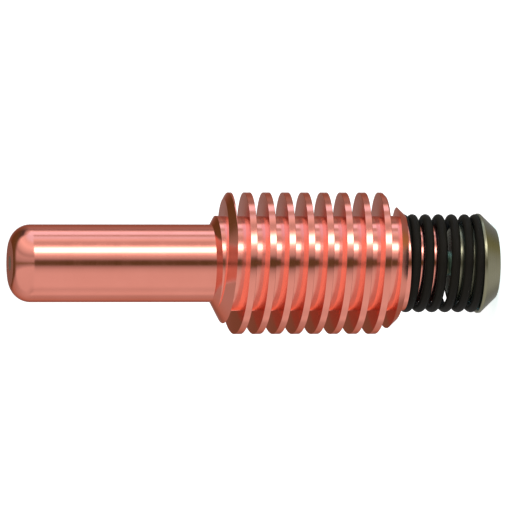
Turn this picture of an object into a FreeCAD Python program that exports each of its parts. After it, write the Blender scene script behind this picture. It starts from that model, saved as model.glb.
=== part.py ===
"""Blow-back electrode of a contact-start plasma torch, standing on its rear contact face, nose up.

The copper body is turned in one piece: a nose with a round edge, a plain shank, a cylinder whose
cooling fins are the lands of one left-handed helical groove, and a rear post. An emissive slug is
pressed into the nose. A plunger is held in the post by the head of its stem, and a spring round
the post pushes it out. Z is the torch axis and z = 0 is the plunger's rear face. Millimetres.
"""

import FreeCAD, Part
import math
import os

# Copper body, from the nose down
NOSE_FACE_DIAMETER = 4.44
NOSE_ROUND = 2.10
SHANK_DIAMETER = 7.59
SHANK_LENGTH = 19.80
FRONT_CONE_LENGTH = 1.70
FIN_DIAMETER = 13.84
FIN_CYLINDER_LENGTH = 15.20
REAR_CONE_LENGTH = 2.20
EDGE_BREAK = 0.15

# Helical groove, whose lands are the cooling fins
GROOVE_PITCH = 1.90
GROOVE_WIDTH = 1.25
GROOVE_FLOOR_DIAMETER = 9.28
FLANK_DRAFT_ANGLE = 2.0
GROOVE_START_ANGLE = 114.0

# Emissive slug in the nose
SLUG_DIAMETER = 1.50
SLUG_LENGTH = 2.60

# Spring as fitted, with its ends ground flat
SPRING_OUTER_DIAMETER = 9.62
WIRE_DIAMETER = 0.91
SPRING_PITCH = 1.297
SPRING_LENGTH = 7.27
SPRING_START_ANGLE = 66.0
GROUND_TIP = 0.10
WIRE_SIDES = 8

# What the spring sits on and round
SPRING_BORE = SPRING_OUTER_DIAMETER - 2 * WIRE_DIAMETER
POST_CLEARANCE = 0.15
POST_DIAMETER = SPRING_BORE - 2 * POST_CLEARANCE
HUB_CLEARANCE = 0.15
HUB_DIAMETER = SPRING_BORE - 2 * HUB_CLEARANCE
FLANGE_OVERHANG = 0.06
FLANGE_DIAMETER = SPRING_OUTER_DIAMETER + 2 * FLANGE_OVERHANG

# Plunger, from its rear face up
CONTACT_FACE_DIAMETER = 6.80
FLANGE_CHAMFER_LENGTH = 1.55
FLANGE_RIM = 0.28
HUB_LENGTH = 2.61
HUB_LEAD_IN = 0.35
STEM_DIAMETER = 2.34
STEM_HEAD_DIAMETER = 3.70
STEM_HEAD_LENGTH = 1.60

# How the plunger moves in the post
STROKE = 1.08
GUIDE_CLEARANCE = 0.10
MOUTH_LIP = 0.80
BORE_END_CLEARANCE = 0.30
DRILL_POINT_ANGLE = 118.0

# Heights along the axis
FLANGE_TOP = FLANGE_CHAMFER_LENGTH + FLANGE_RIM
HUB_TOP = FLANGE_TOP + HUB_LENGTH
POST_END = HUB_TOP + STROKE
LIP_TOP = POST_END + MOUTH_LIP
HEAD_TOP = LIP_TOP + STEM_HEAD_LENGTH
BORE_END = HEAD_TOP + STROKE + BORE_END_CLEARANCE
SHOULDER = FLANGE_TOP + SPRING_LENGTH
FIN_BOTTOM = SHOULDER + REAR_CONE_LENGTH
FIN_TOP = FIN_BOTTOM + FIN_CYLINDER_LENGTH
SHANK_BOTTOM = FIN_TOP + FRONT_CONE_LENGTH
NOSE = SHANK_BOTTOM + SHANK_LENGTH


def at(radius, height):
    """Point of a turned outline, in the XZ plane."""
    return FreeCAD.Vector(radius, 0, height)


def lines(points):
    """Straight edges from each (radius, height) point to the next."""
    return [Part.LineSegment(at(*a), at(*b)).toShape() for a, b in zip(points, points[1:])]


def turned(edges):
    """Solid of revolution about the axis, from a closed outline."""
    section = Part.Face(Part.Wire(edges))
    return section.revolve(FreeCAD.Vector(0, 0, 0), FreeCAD.Vector(0, 0, 1), 360)


def left_handed_sweep(section, pitch, height, radius, bottom, start_angle):
    """Section swept up a left-handed helix that starts at the given height and angle."""
    helix = Part.makeLongHelix(pitch, height, radius, 0.0, True)
    swept = Part.Wire(helix.Edges).makePipeShell([section], True, True)
    swept.rotate(FreeCAD.Vector(0, 0, 0), FreeCAD.Vector(0, 0, 1), start_angle)
    swept.translate(FreeCAD.Vector(0, 0, bottom))
    return swept


def nose_outline():
    """Edges of the nose from the shank to the axis: the round edge, then the flat face."""
    shank_radius = SHANK_DIAMETER / 2
    face_radius = NOSE_FACE_DIAMETER / 2
    centre_radius = shank_radius - NOSE_ROUND
    drop = math.sqrt(NOSE_ROUND ** 2 - (face_radius - centre_radius) ** 2)
    centre_height = NOSE - drop
    middle = math.atan2(drop, face_radius - centre_radius) / 2
    on_round = at(
        centre_radius + NOSE_ROUND * math.cos(middle),
        centre_height + NOSE_ROUND * math.sin(middle),
    )
    side = lines([(shank_radius, SHANK_BOTTOM), (shank_radius, centre_height)])
    corner = Part.Arc(at(shank_radius, centre_height), on_round, at(face_radius, NOSE)).toShape()
    return side + [corner] + lines([(face_radius, NOSE), (0, NOSE)])


def groove_cutter():
    """The groove, run past both cones so that it opens at each end."""
    floor_radius = GROOVE_FLOOR_DIAMETER / 2
    fin_radius = FIN_DIAMETER / 2
    outside = fin_radius + GROOVE_WIDTH
    draft = math.tan(math.radians(FLANK_DRAFT_ANGLE))
    half_floor = GROOVE_WIDTH / 2 - draft * (fin_radius - floor_radius)
    half_outside = GROOVE_WIDTH / 2 + draft * (outside - fin_radius)
    corners = [
        (floor_radius, -half_floor),
        (outside, -half_outside),
        (outside, half_outside),
        (floor_radius, half_floor),
        (floor_radius, -half_floor),
    ]
    bottom = SHOULDER - GROOVE_WIDTH
    return left_handed_sweep(
        Part.Wire(lines(corners)),
        GROOVE_PITCH,
        SHANK_BOTTOM - bottom,
        floor_radius,
        bottom,
        GROOVE_START_ANGLE,
    )


def plunger_bore():
    """Blind drilled bore for the stem's head, with the narrower mouth that holds the head in."""
    bore_radius = STEM_HEAD_DIAMETER / 2 + GUIDE_CLEARANCE
    mouth_radius = STEM_DIAMETER / 2 + GUIDE_CLEARANCE
    point = bore_radius / math.tan(math.radians(DRILL_POINT_ANGLE / 2))
    outline = [
        (0, POST_END),
        (mouth_radius + EDGE_BREAK, POST_END),
        (mouth_radius, POST_END + EDGE_BREAK),
        (mouth_radius, LIP_TOP),
        (bore_radius, LIP_TOP),
        (bore_radius, BORE_END),
        (0, BORE_END + point),
        (0, POST_END),
    ]
    return turned(lines(outline))


def electrode_body():
    """Copper body: turned outline, less the bore, the slug's seat and the helical groove."""
    post_radius = POST_DIAMETER / 2
    outline = [
        (0, NOSE),
        (0, POST_END),
        (post_radius - EDGE_BREAK, POST_END),
        (post_radius, POST_END + EDGE_BREAK),
        (post_radius, SHOULDER),
        (SPRING_OUTER_DIAMETER / 2, SHOULDER),
        (FIN_DIAMETER / 2, FIN_BOTTOM),
        (FIN_DIAMETER / 2, FIN_TOP),
        (SHANK_DIAMETER / 2, SHANK_BOTTOM),
    ]
    blank = turned(lines(outline) + nose_outline())
    return blank.cut([groove_cutter(), plunger_bore(), emissive_insert()])


def emissive_insert():
    """Emissive slug, pressed in flush with the nose face."""
    return Part.makeCylinder(SLUG_DIAMETER / 2, SLUG_LENGTH, at(0, NOSE - SLUG_LENGTH))


def return_spring():
    """Compression spring of constant pitch, ground flat on the flange and under the shoulder.

    The round wire is drawn with a few sides, to keep the long sweep light.
    """
    wire_radius = WIRE_DIAMETER / 2
    coil_radius = SPRING_OUTER_DIAMETER / 2 - wire_radius
    overrun = wire_radius - GROUND_TIP
    corners = []
    for side in range(WIRE_SIDES + 1):
        angle = 2 * math.pi * side / WIRE_SIDES
        corners.append(
            (coil_radius + wire_radius * math.cos(angle), wire_radius * math.sin(angle))
        )
    coil = left_handed_sweep(
        Part.Wire(lines(corners)),
        SPRING_PITCH,
        SPRING_LENGTH + 2 * overrun,
        coil_radius,
        FLANGE_TOP - overrun,
        SPRING_START_ANGLE,
    )
    between_seats = Part.makeCylinder(SPRING_OUTER_DIAMETER, SPRING_LENGTH, at(0, FLANGE_TOP))
    return coil.common(between_seats)


def contact_plunger():
    """Turned plunger: flat contact face, chamfered flange, hub inside the spring, headed stem."""
    hub_radius = HUB_DIAMETER / 2
    stem_radius = STEM_DIAMETER / 2
    head_radius = STEM_HEAD_DIAMETER / 2
    outline = [
        (0, 0),
        (CONTACT_FACE_DIAMETER / 2, 0),
        (FLANGE_DIAMETER / 2, FLANGE_CHAMFER_LENGTH),
        (FLANGE_DIAMETER / 2, FLANGE_TOP),
        (hub_radius, FLANGE_TOP),
        (hub_radius, HUB_TOP - HUB_LEAD_IN),
        (hub_radius - HUB_LEAD_IN, HUB_TOP),
        (stem_radius, HUB_TOP),
        (stem_radius, LIP_TOP),
        (head_radius, LIP_TOP),
        (head_radius, HEAD_TOP - EDGE_BREAK),
        (head_radius - EDGE_BREAK, HEAD_TOP),
        (0, HEAD_TOP),
        (0, 0),
    ]
    return turned(lines(outline))


def main():
    """Writes each piece to its own file, and prints what it measures."""
    os.makedirs("parts", exist_ok=True)
    for make in (electrode_body, emissive_insert, return_spring, contact_plunger):
        piece = make()
        solid = piece.Solids[0]
        box = solid.BoundBox
        print(
            f"{make.__name__}: {len(piece.Solids)} solid, valid {solid.isValid()}, "
            f"{solid.Volume:.2f} mm3, z {box.ZMin:.3f} to {box.ZMax:.3f}, "
            f"radius {max(box.XMax, -box.XMin):.3f}"
        )
        solid.exportStep(f"parts/{make.__name__}.step")


main()
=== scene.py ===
"""Looks of a blow-back plasma torch electrode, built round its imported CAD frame.

The copper body and the plunger are turned: each outline is drawn in the XZ plane and spun about
the torch axis Z. The groove between the cooling fins and the return spring are wound: a section is
spun about the same axis while it climbs. The part stands on its rear contact face, nose up, and
the camera is rolled so that it lies across the picture with the nose to the left.
"""

import math

import bmesh
import bpy
from bpy.props import FloatProperty, FloatVectorProperty, IntProperty, PointerProperty
from mathutils import Matrix, Vector


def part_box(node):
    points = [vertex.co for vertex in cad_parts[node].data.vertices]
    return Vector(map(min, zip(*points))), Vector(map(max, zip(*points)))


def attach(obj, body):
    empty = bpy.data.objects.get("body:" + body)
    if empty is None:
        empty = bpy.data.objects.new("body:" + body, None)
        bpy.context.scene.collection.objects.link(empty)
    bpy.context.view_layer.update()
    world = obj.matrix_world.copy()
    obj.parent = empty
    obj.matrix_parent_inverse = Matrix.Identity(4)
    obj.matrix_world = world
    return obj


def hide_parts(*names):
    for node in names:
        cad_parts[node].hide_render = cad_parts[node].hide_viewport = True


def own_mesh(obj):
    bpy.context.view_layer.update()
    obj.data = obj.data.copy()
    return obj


bl_info = {
    "name": "Plasma torch electrode",
    "version": (1, 0, 0),
    "blender": (4, 5, 0),
    "location": "View3D > Sidebar > Electrode",
    "description": "Builds the looks of a blow-back plasma torch electrode on its CAD frame",
    "category": "Object",
}

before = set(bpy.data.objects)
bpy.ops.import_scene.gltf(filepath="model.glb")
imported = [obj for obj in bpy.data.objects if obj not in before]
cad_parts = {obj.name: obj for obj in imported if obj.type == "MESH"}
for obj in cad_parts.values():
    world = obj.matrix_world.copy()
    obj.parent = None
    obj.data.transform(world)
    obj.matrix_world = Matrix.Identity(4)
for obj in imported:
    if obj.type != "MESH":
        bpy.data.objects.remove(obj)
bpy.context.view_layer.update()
BODY_LOW, BODY_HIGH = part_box("electrode_body")
SPRING_LOW, SPRING_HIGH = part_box("return_spring")
PLUNGER_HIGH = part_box("contact_plunger")[1]
SLUG_LOW, SLUG_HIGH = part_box("emissive_insert")

AXIS = (0, 0, 1)
CENTRE = (0, 0, 0)
# Vertices nearer than this are one
SEAM = 1e-7

# Edge breaks that the lathe leaves, in metres
TURNED_BREAK = 0.00015
RIM_BREAK = 0.00006
SLUG_BREAK = 0.00004

# Faces round the slug, steps in the nose's round edge, and steps in one coil of the spring
SLUG_FACETS = 96
NOSE_STEPS = 24
COIL_STEPS = 120

# Edges sharper than this many degrees are drawn sharp. The wire's 28 faces meet at 13.
TURNED_SHARP = 8
WIRE_SHARP = 35


def linear(code):
    """Linear colour with alpha from an sRGB hex code."""
    channels = [int(code[i : i + 2], 16) / 255 for i in (0, 2, 4)]
    return tuple(
        c / 12.92 if c <= 0.04045 else ((c + 0.055) / 1.055) ** 2.4 for c in channels
    ) + (1.0,)


# Sizes and finishes


class BodySizes(bpy.types.PropertyGroup):
    """Radii and heights of the copper body, in its outline's order from the nose down."""

    nose_top: FloatProperty(
        name="Nose height",
        description="Height of the flat nose face",
        default=BODY_HIGH.z,
        unit="LENGTH",
        precision=5,
    )
    nose_face_radius: FloatProperty(
        name="Nose face radius",
        description="Radius of the flat nose face inside its round edge",
        default=0.00222,
        unit="LENGTH",
        precision=5,
    )
    nose_round: FloatProperty(
        name="Nose round",
        description="Radius of the round edge between the nose face and the shank",
        default=0.0021,
        unit="LENGTH",
        precision=5,
    )
    shank_radius: FloatProperty(
        name="Shank radius",
        description="Radius of the plain cylinder behind the nose",
        default=0.003795,
        unit="LENGTH",
        precision=5,
    )
    shank_bottom: FloatProperty(
        name="Shank foot",
        description="Height where the shank meets the front cone",
        default=0.0282,
        unit="LENGTH",
        precision=5,
    )
    fin_radius: FloatProperty(
        name="Fin radius",
        description="Radius over the cooling fins",
        default=0.00692,
        unit="LENGTH",
        precision=5,
    )
    fin_top: FloatProperty(
        name="Fin top",
        description="Height where the front cone meets the finned cylinder",
        default=0.0265,
        unit="LENGTH",
        precision=5,
    )
    fin_bottom: FloatProperty(
        name="Fin bottom",
        description="Height where the finned cylinder meets the rear cone",
        default=0.0113,
        unit="LENGTH",
        precision=5,
    )
    shoulder: FloatProperty(
        name="Shoulder height",
        description="Height of the flat shoulder that the spring seats on",
        default=0.0091,
        unit="LENGTH",
        precision=5,
    )
    shoulder_radius: FloatProperty(
        name="Shoulder radius",
        description="Outer radius of the spring's shoulder",
        default=0.00483,
        unit="LENGTH",
        precision=5,
    )
    post_radius: FloatProperty(
        name="Post radius",
        description="Radius of the rear post inside the spring",
        default=0.00375,
        unit="LENGTH",
        precision=5,
    )
    post_end: FloatProperty(
        name="Post end",
        description="Height of the rear post's flat end",
        default=BODY_LOW.z,
        unit="LENGTH",
        precision=5,
    )
    mouth_radius: FloatProperty(
        name="Bore mouth radius",
        description="Radius of the narrow mouth that holds the plunger's head in",
        default=0.00127,
        unit="LENGTH",
        precision=5,
    )
    mouth_top: FloatProperty(
        name="Bore mouth top",
        description="Height of the step between the mouth and the bore",
        default=0.00632,
        unit="LENGTH",
        precision=5,
    )
    bore_radius: FloatProperty(
        name="Bore radius",
        description="Radius of the drilled bore that the plunger's head slides in",
        default=0.00195,
        unit="LENGTH",
        precision=5,
    )
    bore_end: FloatProperty(
        name="Bore end",
        description="Height of the bore's end, below its drill point",
        default=0.0093,
        unit="LENGTH",
        precision=5,
    )
    drill_point: FloatProperty(
        name="Drill point",
        description="Height of the drill point's cone",
        default=0.00117,
        unit="LENGTH",
        precision=5,
    )
    groove_pitch: FloatProperty(
        name="Groove pitch",
        description="Rise of the helical groove in one turn",
        default=0.0019,
        unit="LENGTH",
        precision=5,
    )
    groove_width: FloatProperty(
        name="Groove width",
        description="Width of the groove between two fins, at its mouth",
        default=0.00125,
        unit="LENGTH",
        precision=5,
    )
    groove_floor: FloatProperty(
        name="Groove floor radius",
        description="Radius of the groove's floor",
        default=0.00464,
        unit="LENGTH",
        precision=5,
    )
    groove_draft: FloatProperty(
        name="Groove draft",
        description="How much nearer each flank stands at the groove's floor than at its mouth",
        default=0.00008,
        unit="LENGTH",
        precision=5,
    )
    groove_angle: FloatProperty(
        name="Groove start angle",
        description="Angle about the axis at which the groove starts, below the shoulder",
        default=math.radians(114),
        unit="ROTATION",
    )
    edge_break: FloatProperty(
        name="Edge break",
        description="Width of the small chamfer left on each fin's edges",
        default=0.00002,
        unit="LENGTH",
        precision=5,
    )
    facets: IntProperty(
        name="Facets",
        description="Faces round the turned body",
        default=288,
        min=24,
    )


class SpringSizes(bpy.types.PropertyGroup):
    """The return spring as it is fitted."""

    wire_radius: FloatProperty(
        name="Wire radius",
        description="Radius of the round spring wire",
        default=0.000455,
        unit="LENGTH",
        precision=6,
    )
    coil_radius: FloatProperty(
        name="Coil radius",
        description="Distance from the axis to the middle of the wire",
        default=0.004355,
        unit="LENGTH",
        precision=6,
    )
    pitch: FloatProperty(
        name="Pitch",
        description="Rise of one working coil",
        default=0.001297,
        unit="LENGTH",
        precision=5,
    )
    first_crossing: FloatProperty(
        name="First crossing",
        description="Height of the lowest working coil's wire on the side away from +X",
        default=0.002361,
        unit="LENGTH",
        precision=6,
    )
    flange_rise: FloatProperty(
        name="Flange end rise",
        description="Rise of the half turn between the flange's seat and the working coils",
        default=0.0004,
        unit="LENGTH",
        precision=6,
    )
    shoulder_rise: FloatProperty(
        name="Shoulder end rise",
        description="Rise of the half turn between the working coils and the shoulder's seat",
        default=0.000255,
        unit="LENGTH",
        precision=6,
    )
    tip_angle: FloatProperty(
        name="Ground tip",
        description="Angle about the axis that the ground end of the wire runs on at each seat",
        default=math.radians(110),
        unit="ROTATION",
    )
    working_coils: IntProperty(
        name="Working coils",
        description="Number of coils between the two ground ends",
        default=5,
        min=1,
    )
    sides: IntProperty(
        name="Wire sides",
        description="Faces round the wire",
        default=28,
        min=6,
    )


class PlungerSizes(bpy.types.PropertyGroup):
    """Radii and heights of the contact plunger, from its rear face up."""

    face_radius: FloatProperty(
        name="Contact face radius",
        description="Radius of the flat rear contact face",
        default=0.0034,
        unit="LENGTH",
        precision=5,
    )
    flange_radius: FloatProperty(
        name="Flange radius",
        description="Radius of the flange that the spring pushes on",
        default=0.00487,
        unit="LENGTH",
        precision=5,
    )
    chamfer_top: FloatProperty(
        name="Chamfer top",
        description="Height where the long chamfer meets the flange's rim",
        default=0.00155,
        unit="LENGTH",
        precision=5,
    )
    flange_top: FloatProperty(
        name="Flange top",
        description="Height of the flange's flat side under the spring",
        default=0.00183,
        unit="LENGTH",
        precision=5,
    )
    hub_radius: FloatProperty(
        name="Hub radius",
        description="Radius of the hub inside the spring",
        default=0.00375,
        unit="LENGTH",
        precision=5,
    )
    hub_lead_in: FloatProperty(
        name="Hub lead-in",
        description="Width of the chamfer that leads the spring over the hub",
        default=0.00035,
        unit="LENGTH",
        precision=5,
    )
    hub_top: FloatProperty(
        name="Hub top",
        description="Height of the hub's flat end",
        default=0.00444,
        unit="LENGTH",
        precision=5,
    )
    stem_radius: FloatProperty(
        name="Stem radius",
        description="Radius of the thin stem that goes into the post",
        default=0.00117,
        unit="LENGTH",
        precision=5,
    )
    head_radius: FloatProperty(
        name="Head radius",
        description="Radius of the head that keeps the stem in the post",
        default=0.00185,
        unit="LENGTH",
        precision=5,
    )
    head_bottom: FloatProperty(
        name="Head bottom",
        description="Height of the head's underside, on the mouth of the bore",
        default=0.00632,
        unit="LENGTH",
        precision=5,
    )
    head_top: FloatProperty(
        name="Head top",
        description="Height of the head's flat end",
        default=PLUNGER_HIGH.z,
        unit="LENGTH",
        precision=5,
    )
    facets: IntProperty(
        name="Facets",
        description="Faces round the turned plunger",
        default=192,
        min=24,
    )


class Finishes(bpy.types.PropertyGroup):
    """Colours of the four finishes. The copper has two."""

    copper: FloatVectorProperty(
        name="Turned copper",
        description="Bare copper, fresh from the lathe",
        default=linear("dd8b7b"),
        subtype="COLOR",
        size=4,
        min=0,
        max=1,
    )
    copper_shade: FloatVectorProperty(
        name="Handled copper",
        description="Slightly duller patches on the copper",
        default=linear("cf7d6b"),
        subtype="COLOR",
        size=4,
        min=0,
        max=1,
    )
    hafnium: FloatVectorProperty(
        name="Emissive slug",
        description="Dull grey-brown face of the emissive metal",
        default=linear("a5806e"),
        subtype="COLOR",
        size=4,
        min=0,
        max=1,
    )
    black_oxide: FloatVectorProperty(
        name="Black oxide",
        description="Blackened spring wire",
        default=linear("12100c"),
        subtype="COLOR",
        size=4,
        min=0,
        max=1,
    )
    nickel: FloatVectorProperty(
        name="Satin nickel",
        description="Satin nickel plate with a faint warm cast",
        default=linear("8c8974"),
        subtype="COLOR",
        size=4,
        min=0,
        max=1,
    )


class StageSettings(bpy.types.PropertyGroup):
    """The camera and the light tent."""

    view_tilt: FloatProperty(
        name="View tilt",
        description="Angle by which the camera is swung from square-on towards the nose",
        default=math.asin(0.17),
        unit="ROTATION",
    )
    picture_width: FloatProperty(
        name="Picture width",
        description="Width of the picture at the part",
        default=0.04997,
        unit="LENGTH",
        precision=5,
    )
    aim: FloatVectorProperty(
        name="Aim",
        description="Point at the middle of the picture",
        default=(0.000708, 0.0, 0.02368),
        subtype="XYZ",
        unit="LENGTH",
        size=3,
    )
    lens: FloatProperty(
        name="Lens",
        description="Focal length in mm, long because the photograph shows no perspective",
        default=1000.0,
    )
    tent_radius: FloatProperty(
        name="Tent radius",
        description="Distance from the part to the light tent that the metal mirrors",
        default=1.5,
        unit="LENGTH",
    )


# Mesh helpers


def draw(bm, corners):
    """Line of vertices and edges through (radius, height) corners in the XZ plane."""
    verts = [bm.verts.new((radius, 0, height)) for radius, height in corners]
    for pair in zip(verts, verts[1:]):
        bm.edges.new(pair)
    return verts


def soften(bm, verts, width, segments=3):
    """Rounds the drawn corners at these vertices."""
    bmesh.ops.bevel(
        bm,
        geom=verts,
        offset=width,
        offset_type="OFFSET",
        affect="VERTICES",
        segments=segments,
        profile=0.5,
        material=-1,
        clamp_overlap=False,
    )


def turn(bm, facets):
    """Spins everything drawn so far into a closed turned solid."""
    bmesh.ops.spin(
        bm,
        geom=list(bm.verts) + list(bm.edges),
        cent=CENTRE,
        axis=AXIS,
        dvec=CENTRE,
        angle=2 * math.pi,
        steps=facets,
        use_merge=True,
        use_duplicate=False,
    )
    bmesh.ops.remove_doubles(bm, verts=bm.verts, dist=SEAM)
    bmesh.ops.recalc_face_normals(bm, faces=bm.faces)


def wind(bm, geom, angle, rise, facets):
    """Winds drawn edges left-handed about the axis while they climb; gives the last ones."""
    steps = max(3, round(facets * angle / (2 * math.pi)))
    wound = bmesh.ops.spin(
        bm,
        geom=geom,
        cent=CENTRE,
        axis=AXIS,
        dvec=(0, 0, rise / steps),
        angle=-angle,
        steps=steps,
        use_merge=False,
        use_duplicate=False,
    )
    return wound["geom_last"]


def piece(name, bm, sharp=TURNED_SHARP):
    """New object from the mesh, at the origin, smooth but for edges sharper than an angle.

    The angle is small, so that an edge break doesn't bend the light on the broad face beside it.
    """
    mesh = bpy.data.meshes.new(name)
    bm.to_mesh(mesh)
    bm.free()
    mesh.shade_smooth()
    mesh.set_sharp_from_angle(angle=math.radians(sharp))
    made = bpy.data.objects.new(name, mesh)
    bpy.context.scene.collection.objects.link(made)
    return made


def dress(made, material, body, node):
    """Gives a piece its material and its body, and hides the CAD node it stands for."""
    made.data.materials.clear()
    made.data.materials.append(material)
    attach(made, body)
    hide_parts(node)


# Node helpers


def add_node(tree, kind, inputs=None, **settings):
    """Adds one node, with its settings and with each input linked or set."""
    node = tree.nodes.new(kind)
    for name, value in settings.items():
        setattr(node, name, value)
    for socket, value in (inputs or {}).items():
        if isinstance(value, bpy.types.NodeSocket):
            tree.links.new(value, node.inputs[socket])
        else:
            node.inputs[socket].default_value = value
    return node


def start_material(name):
    """New node material with only its output, and its tree."""
    material = bpy.data.materials.new(name)
    material.use_nodes = True
    material.node_tree.nodes.clear()
    return material, material.node_tree


def finish_material(tree, shader):
    """Links a shader's first output to the material's surface."""
    add_node(tree, "ShaderNodeOutputMaterial", {"Surface": shader.outputs[0]})


def lathe_coordinate(tree):
    """A point's place, and its (radius, 0, height), on which a pattern comes out as rings."""
    place = add_node(tree, "ShaderNodeTexCoord").outputs["Object"]
    flat = add_node(
        tree, "ShaderNodeVectorMath", {0: place, 1: (1, 1, 0)}, operation="MULTIPLY"
    )
    radius = add_node(tree, "ShaderNodeVectorMath", {0: flat.outputs[0]}, operation="LENGTH")
    parts = add_node(tree, "ShaderNodeSeparateXYZ", {0: place})
    rings = add_node(
        tree,
        "ShaderNodeCombineXYZ",
        {"X": radius.outputs["Value"], "Z": parts.outputs["Z"]},
    )
    return place, rings.outputs[0]


# Materials

# Copper's tint at a glancing angle
COPPER_GLANCE = (0.87, 0.46, 0.38, 1.0)
# What the other finishes' colours run to in their grains and clouds
HAFNIUM_SHADE = linear("8c6a5a")
OXIDE_SHADE = linear("191713")
NICKEL_SHADE = linear("7d795f")


def turned_copper(finishes):
    """Bare copper, fine-turned: mirror-like bands of light along the axis, faint rings across."""
    material, tree = start_material("Turned copper")
    place, rings = lathe_coordinate(tree)
    # Feed marks of a finishing cut are about 0.05 mm apart; drawn at 0.12 mm, so that they show
    feed = add_node(
        tree,
        "ShaderNodeTexNoise",
        {"Vector": rings, "Scale": 1 / 0.00012, "Detail": 2.0, "Roughness": 0.5},
    )
    # Broader bands of about 0.9 mm where the tool cut a little cleaner or duller
    bands = add_node(
        tree,
        "ShaderNodeTexNoise",
        {"Vector": rings, "Scale": 1 / 0.0009, "Detail": 3.0, "Roughness": 0.6},
    )
    # Dull clouds of about 6 mm from handling
    clouds = add_node(
        tree,
        "ShaderNodeTexNoise",
        {"Vector": place, "Scale": 1 / 0.006, "Detail": 4.0, "Roughness": 0.55},
    )
    dull = add_node(
        tree,
        "ShaderNodeMapRange",
        {"Value": clouds.outputs["Fac"], "From Min": 0.45, "From Max": 0.75, "To Max": 0.35},
    )
    colour = add_node(
        tree,
        "ShaderNodeMix",
        {
            "Factor": dull.outputs[0],
            6: tuple(finishes.copper),
            7: tuple(finishes.copper_shade),
        },
        data_type="RGBA",
    )
    rough = add_node(
        tree,
        "ShaderNodeMapRange",
        {
            "Value": bands.outputs["Fac"],
            "From Min": 0.3,
            "From Max": 0.7,
            "To Min": 0.1,
            "To Max": 0.18,
        },
    )
    marks = add_node(
        tree,
        "ShaderNodeBump",
        {"Strength": 0.25, "Distance": 0.000004, "Height": feed.outputs["Fac"]},
    )
    shader = add_node(
        tree,
        "ShaderNodeBsdfPrincipled",
        {
            "Base Color": colour.outputs[2],
            "Metallic": 1.0,
            "Roughness": rough.outputs[0],
            "Specular Tint": COPPER_GLANCE,
            "Normal": marks.outputs[0],
        },
    )
    finish_material(tree, shader)
    return material


def faced_hafnium(finishes):
    """Emissive metal, faced off with the nose: a dull grey-brown disc with fine grains."""
    material, tree = start_material("Faced hafnium")
    place, rings = lathe_coordinate(tree)
    # Grains of about 0.08 mm
    grains = add_node(
        tree, "ShaderNodeTexVoronoi", {"Vector": place, "Scale": 1 / 0.00008}
    )
    tint = add_node(
        tree,
        "ShaderNodeMix",
        {
            "Factor": grains.outputs["Distance"],
            6: tuple(finishes.hafnium),
            7: HAFNIUM_SHADE,
        },
        data_type="RGBA",
    )
    # Facing marks, drawn 0.1 mm apart
    facing = add_node(
        tree, "ShaderNodeTexNoise", {"Vector": rings, "Scale": 1 / 0.0001, "Detail": 1.0}
    )
    marks = add_node(
        tree,
        "ShaderNodeBump",
        {"Strength": 0.3, "Distance": 0.000006, "Height": facing.outputs["Fac"]},
    )
    shader = add_node(
        tree,
        "ShaderNodeBsdfPrincipled",
        {
            "Base Color": tint.outputs[2],
            "Metallic": 1.0,
            "Roughness": 0.42,
            "Normal": marks.outputs[0],
        },
    )
    finish_material(tree, shader)
    return material


def black_oxide_wire(finishes):
    """Blackened spring steel: nearly black, with a soft satin sheen and faint drawing marks."""
    material, tree = start_material("Black oxide spring steel")
    place, rings = lathe_coordinate(tree)
    # Cloudy oxide, about 1 mm across
    clouds = add_node(
        tree,
        "ShaderNodeTexNoise",
        {"Vector": place, "Scale": 1 / 0.001, "Detail": 4.0, "Roughness": 0.6},
    )
    tint = add_node(
        tree,
        "ShaderNodeMix",
        {
            "Factor": clouds.outputs["Fac"],
            6: tuple(finishes.black_oxide),
            7: OXIDE_SHADE,
        },
        data_type="RGBA",
    )
    # Drawing marks follow the wire, which runs nearly round the axis; drawn 0.1 mm apart
    drawn = add_node(
        tree, "ShaderNodeTexNoise", {"Vector": rings, "Scale": 1 / 0.0001, "Detail": 2.0}
    )
    rough = add_node(
        tree,
        "ShaderNodeMapRange",
        {"Value": clouds.outputs["Fac"], "To Min": 0.4, "To Max": 0.6},
    )
    marks = add_node(
        tree,
        "ShaderNodeBump",
        {"Strength": 0.3, "Distance": 0.000005, "Height": drawn.outputs["Fac"]},
    )
    shader = add_node(
        tree,
        "ShaderNodeBsdfPrincipled",
        {
            "Base Color": tint.outputs[2],
            "Roughness": rough.outputs[0],
            "Specular IOR Level": 0.06,
            "Normal": marks.outputs[0],
        },
    )
    finish_material(tree, shader)
    return material


def satin_nickel(finishes):
    """Nickel plate over turned brass: grey with a warm cast, its light bands softly blurred."""
    material, tree = start_material("Satin nickel plate")
    place, rings = lathe_coordinate(tree)
    # Feed marks of the brass below, drawn 0.1 mm apart
    feed = add_node(
        tree,
        "ShaderNodeTexNoise",
        {"Vector": rings, "Scale": 1 / 0.0001, "Detail": 2.0},
    )
    # Clouds of about 2 mm in the plate
    clouds = add_node(
        tree,
        "ShaderNodeTexNoise",
        {"Vector": place, "Scale": 1 / 0.002, "Detail": 4.0, "Roughness": 0.6},
    )
    tint = add_node(
        tree,
        "ShaderNodeMix",
        {
            "Factor": clouds.outputs["Fac"],
            6: tuple(finishes.nickel),
            7: NICKEL_SHADE,
        },
        data_type="RGBA",
    )
    rough = add_node(
        tree,
        "ShaderNodeMapRange",
        {"Value": feed.outputs["Fac"], "To Min": 0.22, "To Max": 0.34},
    )
    marks = add_node(
        tree,
        "ShaderNodeBump",
        {"Strength": 0.3, "Distance": 0.000005, "Height": feed.outputs["Fac"]},
    )
    shader = add_node(
        tree,
        "ShaderNodeBsdfPrincipled",
        {
            "Base Color": tint.outputs[2],
            "Metallic": 1.0,
            "Roughness": rough.outputs[0],
            "Normal": marks.outputs[0],
        },
    )
    finish_material(tree, shader)
    return material


# Pieces


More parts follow.
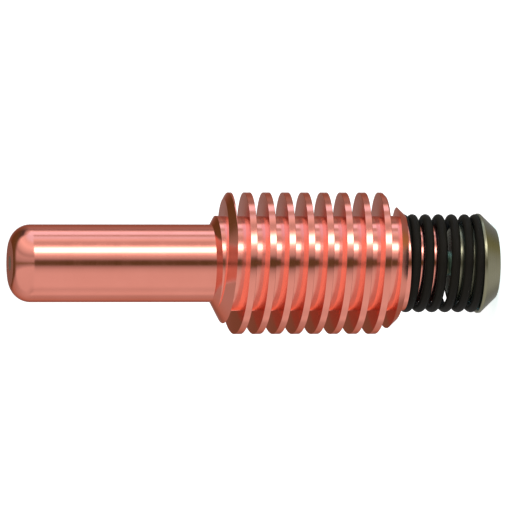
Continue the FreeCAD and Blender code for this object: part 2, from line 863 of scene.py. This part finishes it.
def body_blank(sizes):
    """The turned blank of the copper body, with the plunger's bore and the slug's seat."""
    bm = bmesh.new()
    slug_radius = SLUG_HIGH.x
    seat = SLUG_LOW.z
    round_centre = sizes.shank_radius - sizes.nose_round
    drop = math.sqrt(sizes.nose_round**2 - (sizes.nose_face_radius - round_centre) ** 2)
    sweep = math.atan2(drop, sizes.nose_face_radius - round_centre)
    arc_start = bm.verts.new((sizes.shank_radius, 0, sizes.nose_top - drop))
    bmesh.ops.spin(
        bm,
        geom=[arc_start],
        cent=(round_centre, 0, sizes.nose_top - drop),
        axis=(0, 1, 0),
        dvec=CENTRE,
        angle=-sweep,
        steps=NOSE_STEPS,
        use_merge=False,
        use_duplicate=False,
    )
    draw(
        bm,
        [
            (sizes.nose_face_radius, sizes.nose_top),
            (slug_radius, sizes.nose_top),
            (slug_radius, seat),
            (0, seat),
        ],
    )
    line = draw(
        bm,
        [
            (sizes.shank_radius, sizes.nose_top - drop),
            (sizes.shank_radius, sizes.shank_bottom),
            (sizes.fin_radius, sizes.fin_top),
            (sizes.fin_radius, sizes.fin_bottom),
            (sizes.shoulder_radius, sizes.shoulder),
            (sizes.post_radius, sizes.shoulder),
            (sizes.post_radius, sizes.post_end),
            (sizes.mouth_radius, sizes.post_end),
            (sizes.mouth_radius, sizes.mouth_top),
            (sizes.bore_radius, sizes.mouth_top),
            (sizes.bore_radius, sizes.bore_end),
            (0, sizes.bore_end + sizes.drill_point),
        ],
    )
    bmesh.ops.remove_doubles(bm, verts=bm.verts, dist=SEAM)
    fin_edges_and_shoulder, post_and_mouth = line[2:5], line[6:8]
    soften(bm, fin_edges_and_shoulder, sizes.edge_break)
    soften(bm, post_and_mouth, TURNED_BREAK, segments=1)
    turn(bm, sizes.facets)
    return piece("blank", bm)


def groove_cutter(sizes):
    """The groove's section, drafted and with a flared mouth, wound up past both cones."""
    bm = bmesh.new()
    half = sizes.groove_width / 2
    outside = sizes.fin_radius + sizes.groove_width
    flare = sizes.fin_radius - sizes.edge_break
    spread = half + (outside - flare)
    bottom = sizes.shoulder - sizes.groove_width
    section = draw(
        bm,
        [
            (outside, bottom - spread),
            (flare, bottom - half),
            (sizes.groove_floor, bottom - half + sizes.groove_draft),
            (sizes.groove_floor, bottom + half - sizes.groove_draft),
            (flare, bottom + half),
            (outside, bottom + spread),
        ],
    )
    bm.edges.new((section[-1], section[0]))
    bmesh.ops.rotate(
        bm,
        cent=CENTRE,
        matrix=Matrix.Rotation(sizes.groove_angle, 3, "Z"),
        verts=bm.verts,
    )
    drawn = list(bm.verts) + list(bm.edges)
    wind(bm, drawn, 2 * math.pi, sizes.groove_pitch, sizes.facets)
    one_turn = list(bm.verts) + list(bm.edges) + list(bm.faces)
    turns = math.ceil((sizes.shank_bottom - bottom) / sizes.groove_pitch)
    for number in range(1, turns):
        copied = bmesh.ops.duplicate(bm, geom=one_turn)["geom"]
        bmesh.ops.translate(
            bm,
            vec=(0, 0, sizes.groove_pitch * number),
            verts=[e for e in copied if isinstance(e, bmesh.types.BMVert)],
        )
    bmesh.ops.remove_doubles(bm, verts=bm.verts, dist=SEAM)
    bmesh.ops.holes_fill(bm, edges=[e for e in bm.edges if e.is_boundary], sides=0)
    bmesh.ops.recalc_face_normals(bm, faces=bm.faces)
    return piece("cutter", bm)


def cut(blank, cutter):
    """Mesh of the blank less the cutter; both are used up."""
    modifier = blank.modifiers.new("Groove", "BOOLEAN")
    modifier.operation = "DIFFERENCE"
    modifier.solver = "EXACT"
    modifier.object = cutter
    graph = bpy.context.evaluated_depsgraph_get()
    result = bpy.data.meshes.new_from_object(blank.evaluated_get(graph))
    bpy.data.objects.remove(blank)
    bpy.data.objects.remove(cutter)
    return result


class ELECTRODE_OT_body(bpy.types.Operator):
    """Turn the copper body, with its nose, shank, helical cooling fins and rear post"""

    bl_idname = "electrode.body"
    bl_label = "Copper body"

    def execute(self, context):
        sizes = context.scene.electrode_body
        result = cut(body_blank(sizes), groove_cutter(sizes))
        bm = bmesh.new()
        bm.from_mesh(result)
        bmesh.ops.remove_doubles(bm, verts=bm.verts, dist=SEAM)
        bmesh.ops.dissolve_degenerate(bm, edges=bm.edges, dist=SEAM)
        body = piece("copper_body", bm)
        dress(
            body,
            turned_copper(context.scene.electrode_finishes),
            "electrode",
            "electrode_body",
        )
        return {"FINISHED"}


class ELECTRODE_OT_slug(bpy.types.Operator):
    """Turn the emissive slug that is pressed into the nose"""

    bl_idname = "electrode.slug"
    bl_label = "Emissive slug"

    def execute(self, context):
        bm = bmesh.new()
        line = draw(
            bm,
            [
                (0, SLUG_LOW.z),
                (SLUG_HIGH.x, SLUG_LOW.z),
                (SLUG_HIGH.x, SLUG_HIGH.z),
                (0, SLUG_HIGH.z),
            ],
        )
        soften(bm, [line[2]], SLUG_BREAK)
        turn(bm, SLUG_FACETS)
        slug = piece("emissive_slug", bm)
        dress(
            slug,
            faced_hafnium(context.scene.electrode_finishes),
            "electrode",
            "emissive_insert",
        )
        return {"FINISHED"}


class ELECTRODE_OT_spring(bpy.types.Operator):
    """Wind the black return spring and grind its two ends flat"""

    bl_idname = "electrode.spring"
    bl_label = "Return spring"

    def execute(self, context):
        sizes = context.scene.electrode_spring
        bm = bmesh.new()
        tip_rise = sizes.pitch * sizes.tip_angle / (2 * math.pi)
        start = sizes.first_crossing - sizes.flange_rise - tip_rise
        bmesh.ops.create_circle(
            bm,
            cap_ends=False,
            radius=sizes.wire_radius,
            segments=sizes.sides,
            matrix=Matrix.Translation((sizes.coil_radius, 0, start))
            @ Matrix.Rotation(math.pi / 2, 4, "X"),
        )
        bmesh.ops.rotate(
            bm,
            cent=CENTRE,
            matrix=Matrix.Rotation(sizes.tip_angle, 3, "Z"),
            verts=bm.verts,
        )
        coil = list(bm.verts) + list(bm.edges)
        for angle, rise in (
            (sizes.tip_angle, tip_rise),
            (math.pi, sizes.flange_rise),
            (2 * math.pi * sizes.working_coils, sizes.pitch * sizes.working_coils),
            (math.pi, sizes.shoulder_rise),
            (sizes.tip_angle, tip_rise),
        ):
            coil = wind(bm, coil, angle, rise, COIL_STEPS)
        bmesh.ops.remove_doubles(bm, verts=bm.verts, dist=SEAM)
        for height, direction in ((SPRING_LOW.z, -1), (SPRING_HIGH.z, 1)):
            bmesh.ops.bisect_plane(
                bm,
                geom=list(bm.verts) + list(bm.edges) + list(bm.faces),
                dist=SEAM,
                plane_co=(0, 0, height),
                plane_no=(0, 0, direction),
                clear_outer=True,
            )
            bmesh.ops.holes_fill(bm, edges=[e for e in bm.edges if e.is_boundary], sides=0)
        bmesh.ops.recalc_face_normals(bm, faces=bm.faces)
        spring = piece("coil_spring", bm, sharp=WIRE_SHARP)
        dress(
            spring,
            black_oxide_wire(context.scene.electrode_finishes),
            "plunger",
            "return_spring",
        )
        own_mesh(spring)
        return {"FINISHED"}


class ELECTRODE_OT_plunger(bpy.types.Operator):
    """Turn the contact plunger: chamfered flange, hub, stem and head"""

    bl_idname = "electrode.plunger"
    bl_label = "Contact plunger"

    def execute(self, context):
        sizes = context.scene.electrode_plunger
        bm = bmesh.new()
        line = draw(
            bm,
            [
                (0, 0),
                (sizes.face_radius, 0),
                (sizes.flange_radius, sizes.chamfer_top),
                (sizes.flange_radius, sizes.flange_top),
                (sizes.hub_radius, sizes.flange_top),
                (sizes.hub_radius, sizes.hub_top),
                (sizes.stem_radius, sizes.hub_top),
                (sizes.stem_radius, sizes.head_bottom),
                (sizes.head_radius, sizes.head_bottom),
                (sizes.head_radius, sizes.head_top),
                (0, sizes.head_top),
            ],
        )
        flange_edges, hub_end, head_end = line[1:4], line[5:6], line[9:10]
        soften(bm, flange_edges, RIM_BREAK)
        soften(bm, hub_end, sizes.hub_lead_in, segments=1)
        soften(bm, head_end, TURNED_BREAK)
        turn(bm, sizes.facets)
        plunger = piece("nickel_plunger", bm)
        dress(
            plunger,
            satin_nickel(context.scene.electrode_finishes),
            "plunger",
            "contact_plunger",
        )
        return {"FINISHED"}


# Stage


# What the metal mirrors. The part lies with +X up for the camera, so a direction is given by how
# far it rises towards +X and by where it lies round X: 0 at the camera, 90 at the nose. Each band
# of the tent lists (degrees of rise, level, tint); white paper is level 1.
PLAIN = (1.0, 1.0, 1.0)
COOL = (0.82, 1.0, 1.25)
WARM = (1.1, 1.0, 0.45)
BEHIND = (
    (-90, 0.69, PLAIN),
    (-82, 0.95, PLAIN),
    (-74, 1.0, PLAIN),
    (-65, 0.7, PLAIN),
    (-38, 0.66, PLAIN),
    (-28, 0.45, PLAIN),
    (0, 0.42, PLAIN),
    (34, 0.4, PLAIN),
    (50, 0.55, PLAIN),
    (64, 0.4, PLAIN),
    (68, 1.2, PLAIN),
    (72, 1.9, COOL),
    (90, 1.6, COOL),
)
REAR = (
    (-90, 0.9, PLAIN),
    (-5, 0.88, PLAIN),
    (8, 0.75, PLAIN),
    (16, 0.5, WARM),
    (24, 0.36, WARM),
    (42, 0.45, WARM),
    (60, 0.8, PLAIN),
)
FRONT = (
    (-90, 0.69, PLAIN),
    (-86, 0.72, PLAIN),
    (-79, 0.88, PLAIN),
    (-70, 1.0, PLAIN),
    (-30, 0.96, PLAIN),
    (-18, 0.82, PLAIN),
    (-9, 0.48, PLAIN),
    (-4.5, 0.13, WARM),
    (5.5, 0.13, WARM),
    (9, 0.26, PLAIN),
    (13, 0.68, PLAIN),
    (22, 1.05, PLAIN),
    (27, 1.5, PLAIN),
    (31, 2.6, PLAIN),
    (34, 6.0, PLAIN),
    (43, 6.5, PLAIN),
    (48, 2.6, PLAIN),
    (54, 0.95, PLAIN),
    (63, 0.78, PLAIN),
    (72, 1.25, PLAIN),
    (80, 1.5, COOL),
    (90, 1.6, COOL),
)
NOSEWARD = (
    (-90, 0.7, PLAIN),
    (-70, 0.92, PLAIN),
    (-12, 0.95, PLAIN),
    (-5, 0.5, PLAIN),
    (0, 0.22, WARM),
    (5, 0.6, PLAIN),
    (14, 0.8, PLAIN),
    (21, 0.6, PLAIN),
    (30, 0.95, PLAIN),
    (45, 1.4, PLAIN),
    (60, 1.2, PLAIN),
    (72, 1.5, COOL),
    (90, 1.6, COOL),
)
# The card that only a second mirroring shows
CARD = (
    (-90, 1.7, PLAIN),
    (-12, 1.7, PLAIN),
    (-4, 1.1, PLAIN),
    (4, 1.1, PLAIN),
    (12, 1.7, PLAIN),
    (60, 1.8, PLAIN),
    (75, 2.1, COOL),
)
DARK = (
    (-90, 0.69, PLAIN),
    (-70, 0.85, PLAIN),
    (-16, 0.6, PLAIN),
    (-9, 0.14, WARM),
    (30, 0.16, WARM),
    (55, 0.1, PLAIN),
    (68, 1.0, PLAIN),
    (75, 1.7, COOL),
)
# Bands round X, with the degrees between which each takes over from the one before it. The
# first is BEHIND, which is also the last.
JOINS = (
    (REAR, -125, -112),
    (FRONT, -70, -50),
    (NOSEWARD, 0, 5),
    (DARK, 108, 124),
    (BEHIND, 152, 180),
)
# Level that a ramp's 1 stands for, because a ramp holds no more than 1
BRIGHTEST = 8.0
# Degrees by which the card is slanted, as the groove is, and the heights at which it starts and
# is whole, below and above
CARD_SLANT = 3.3
CARD_EDGES = ((10.7, 11.7), (19.0, 18.0))
# What the light is multiplied by for each mirroring after the first, in red, green and blue
LIFT = (1.2, 2.2, 2.8)

FLOOR_RADIUS = 4.0
# Glow that brings the lit floor to white for the camera
FLOOR_GLOW = 0.55
# Strength of the world as light; the camera sees it at 1
WORLD_LIGHT = 0.6


def band(tree, rise, levels):
    """One band of the tent: its light, as a part of the brightest, by the rise towards +X."""
    ramp = add_node(tree, "ShaderNodeValToRGB", {"Fac": rise})
    stops = ramp.color_ramp.elements
    while len(stops) > 1:
        stops.remove(stops[-1])
    for number, (degrees, level, tint) in enumerate(levels):
        position = (degrees + 90) / 180
        stop = stops[0] if number == 0 else stops.new(position)
        stop.position = position
        stop.color = tuple(level * part / BRIGHTEST for part in tint) + (1.0,)
    return ramp.outputs["Color"]


def tent_light(tree):
    """Light of the tent by direction: bands side by side round X, softly joined."""
    place = add_node(tree, "ShaderNodeTexCoord").outputs["Object"]
    toward = add_node(tree, "ShaderNodeVectorMath", {0: place}, operation="NORMALIZE")
    parts = add_node(tree, "ShaderNodeSeparateXYZ", {0: toward.outputs[0]})
    rise = add_node(tree, "ShaderNodeMath", {0: parts.outputs["X"]}, operation="ARCSINE")
    rise = add_node(
        tree,
        "ShaderNodeMapRange",
        {"Value": rise.outputs[0], "From Min": -math.pi / 2, "From Max": math.pi / 2},
    ).outputs[0]
    near = add_node(
        tree, "ShaderNodeMath", {0: parts.outputs["Y"], 1: -1.0}, operation="MULTIPLY"
    )
    around = add_node(
        tree,
        "ShaderNodeMath",
        {0: parts.outputs["Z"], 1: near.outputs[0]},
        operation="ARCTAN2",
    ).outputs[0]
    behind = band(tree, rise, BEHIND)
    light = behind
    for levels, start, end in JOINS:
        join = add_node(
            tree,
            "ShaderNodeMapRange",
            {"Value": around, "From Min": math.radians(start), "From Max": math.radians(end)},
        )
        beyond = behind if levels is BEHIND else band(tree, rise, levels)
        light = add_node(
            tree,
            "ShaderNodeMix",
            {"Factor": join.outputs[0], 6: light, 7: beyond},
            data_type="RGBA",
        ).outputs[2]
    light = flank_light(tree, toward.outputs[0], rise, light)
    return {"Color": light, "Strength": BRIGHTEST}


def flank_light(tree, toward, rise, light):
    """Adds what only a second mirroring shows, as between the flanks of the fins.

    The card stands all round, low above level. The light is also lifted for each further
    mirroring: the copper's colour is matched to one mirroring, and would redden too much.
    """
    depth = add_node(tree, "ShaderNodeLightPath").outputs["Ray Depth"]
    height = add_node(
        tree,
        "ShaderNodeVectorMath",
        {0: toward, 1: (math.tan(math.radians(CARD_SLANT)), 0, 1)},
        operation="DOT_PRODUCT",
    ).outputs["Value"]
    shown = add_node(tree, "ShaderNodeMath", {0: depth, 1: 1.5}, operation="GREATER_THAN")
    for outer, inner in CARD_EDGES:
        edge = add_node(
            tree,
            "ShaderNodeMapRange",
            {
                "Value": height,
                "From Min": math.sin(math.radians(outer)),
                "From Max": math.sin(math.radians(inner)),
            },
        )
        shown = add_node(
            tree,
            "ShaderNodeMath",
            {0: shown.outputs[0], 1: edge.outputs[0]},
            operation="MULTIPLY",
        )
    light = add_node(
        tree,
        "ShaderNodeMix",
        {"Factor": shown.outputs[0], 6: light, 7: band(tree, rise, CARD)},
        data_type="RGBA",
    ).outputs[2]
    for mirrorings in (1, 2, 3):
        more = add_node(
            tree, "ShaderNodeMath", {0: depth, 1: mirrorings + 0.5}, operation="GREATER_THAN"
        )
        light = add_node(
            tree,
            "ShaderNodeMix",
            {"Factor": more.outputs[0], 6: light, 7: (*LIFT, 1.0)},
            data_type="RGBA",
            blend_type="MULTIPLY",
        ).outputs[2]
    return light


def light_tent(settings):
    """Globe of softboxes and dark flags round the part, which only mirrors see."""
    bm = bmesh.new()
    bmesh.ops.create_uvsphere(bm, u_segments=72, v_segments=36, radius=settings.tent_radius)
    tent = piece("light_tent", bm)
    material, tree = start_material("Tent light")
    finish_material(tree, add_node(tree, "ShaderNodeEmission", tent_light(tree)))
    tent.data.materials.append(material)
    for kind in ("camera", "diffuse", "transmission", "volume_scatter", "shadow"):
        setattr(tent, f"visible_{kind}", False)


def floor():
    """Pale floor: white to the camera, darker only where the part shades it."""
    bm = bmesh.new()
    bmesh.ops.create_circle(bm, cap_ends=True, radius=FLOOR_RADIUS, segments=128)
    ground = piece("floor", bm)
    material, tree = start_material("Pale floor")
    ray = add_node(tree, "ShaderNodeLightPath")
    seen = add_node(
        tree,
        "ShaderNodeMath",
        {0: ray.outputs["Is Camera Ray"], 1: ray.outputs["Is Transmission Ray"]},
        operation="MAXIMUM",
    )
    paper = add_node(tree, "ShaderNodeBsdfDiffuse", {"Color": linear("e8e8e8")})
    glow = add_node(
        tree, "ShaderNodeEmission", {"Color": (1, 1, 1, 1), "Strength": FLOOR_GLOW}
    )
    lit = add_node(tree, "ShaderNodeAddShader", {0: paper.outputs[0], 1: glow.outputs[0]})
    mix = add_node(
        tree,
        "ShaderNodeMixShader",
        {0: seen.outputs[0], 1: paper.outputs[0], 2: lit.outputs[0]},
    )
    finish_material(tree, mix)
    ground.data.materials.append(material)
    ground.visible_glossy = False


def softbox(name, place, aim, size, power):
    """Square area lamp turned to a point."""
    lamp = bpy.data.lights.new(name, "AREA")
    lamp.shape = "SQUARE"
    lamp.size = size
    lamp.energy = power
    made = bpy.data.objects.new(name, lamp)
    made.location = place
    made.rotation_mode = "QUATERNION"
    made.rotation_quaternion = (Vector(aim) - Vector(place)).to_track_quat("-Z", "Y")
    made.visible_camera = False
    made.visible_glossy = False
    bpy.context.scene.collection.objects.link(made)


def white_world():
    """White wherever the camera or a mirror sees it, and a softer white as light."""
    world = bpy.data.worlds.new("White studio")
    world.use_nodes = True
    tree = world.node_tree
    tree.nodes.clear()
    ray = add_node(tree, "ShaderNodeLightPath")
    seen = add_node(
        tree,
        "ShaderNodeMath",
        {0: ray.outputs["Is Camera Ray"], 1: ray.outputs["Is Glossy Ray"]},
        operation="MAXIMUM",
    )
    seen = add_node(
        tree,
        "ShaderNodeMath",
        {0: seen.outputs[0], 1: ray.outputs["Is Transmission Ray"]},
        operation="MAXIMUM",
    )
    level = add_node(
        tree,
        "ShaderNodeMapRange",
        {"Value": seen.outputs[0], "To Min": WORLD_LIGHT, "To Max": 1.0},
    )
    light = add_node(
        tree, "ShaderNodeBackground", {"Color": (1, 1, 1, 1), "Strength": level.outputs[0]}
    )
    add_node(tree, "ShaderNodeOutputWorld", {"Surface": light.outputs[0]})
    bpy.context.scene.world = world


def camera(settings):
    """Long-lens camera at the photograph's angle, rolled so that the nose points left."""
    tilt = settings.view_tilt
    right = Vector((0, -math.sin(tilt), -math.cos(tilt)))
    up = Vector((1, 0, 0))
    back = right.cross(up)
    lens = bpy.data.cameras.new("camera")
    lens.sensor_width = 36.0
    lens.lens = settings.lens
    lens.clip_start = 0.01
    lens.clip_end = 20.0
    made = bpy.data.objects.new("camera", lens)
    distance = settings.picture_width * settings.lens / lens.sensor_width
    turned = Matrix((right, up, back)).transposed().to_4x4()
    made.matrix_world = Matrix.Translation(Vector(settings.aim) + back * distance) @ turned
    bpy.context.scene.collection.objects.link(made)
    bpy.context.scene.camera = made


class ELECTRODE_OT_stage(bpy.types.Operator):
    """Set up the pale floor, the white studio, its lamps and the camera"""

    bl_idname = "electrode.stage"
    bl_label = "Stage"

    def execute(self, context):
        settings = context.scene.electrode_stage
        camera(settings)
        white_world()
        floor()
        light_tent(settings)
        middle = (0, 0, 0.024)
        softbox("key_softbox", (0.35, -0.45, 0.4), middle, size=0.4, power=3.0)
        softbox("fill_softbox", (-0.5, -0.4, 0.3), middle, size=0.5, power=1.5)
        context.scene.view_settings.view_transform = "Standard"
        return {"FINISHED"}


class ELECTRODE_PT_panel(bpy.types.Panel):
    """Lists what this add-on builds"""

    bl_label = "Plasma torch electrode"
    bl_idname = "ELECTRODE_PT_panel"
    bl_space_type = "VIEW_3D"
    bl_region_type = "UI"
    bl_category = "Electrode"

    def draw(self, context):
        for operator in OPERATORS:
            self.layout.operator(operator.bl_idname)


OPERATORS = (
    ELECTRODE_OT_body,
    ELECTRODE_OT_slug,
    ELECTRODE_OT_spring,
    ELECTRODE_OT_plunger,
    ELECTRODE_OT_stage,
)
GROUPS = {
    "electrode_body": BodySizes,
    "electrode_spring": SpringSizes,
    "electrode_plunger": PlungerSizes,
    "electrode_finishes": Finishes,
    "electrode_stage": StageSettings,
}


def register():
    """Registers the groups on the scene, then the operators and the panel."""
    for name, group in GROUPS.items():
        bpy.utils.register_class(group)
        setattr(bpy.types.Scene, name, PointerProperty(type=group))
    for cls in (*OPERATORS, ELECTRODE_PT_panel):
        bpy.utils.register_class(cls)


def unregister():
    """Takes off what register put on, in the other order."""
    for cls in reversed((*OPERATORS, ELECTRODE_PT_panel)):
        bpy.utils.unregister_class(cls)
    for name, group in reversed(list(GROUPS.items())):
        delattr(bpy.types.Scene, name)
        bpy.utils.unregister_class(group)


def main():
    register()
    bpy.ops.electrode.stage()
    bpy.ops.electrode.body()
    bpy.ops.electrode.slug()
    bpy.ops.electrode.spring()
    bpy.ops.electrode.plunger()


if __name__ == "__main__":
    main()
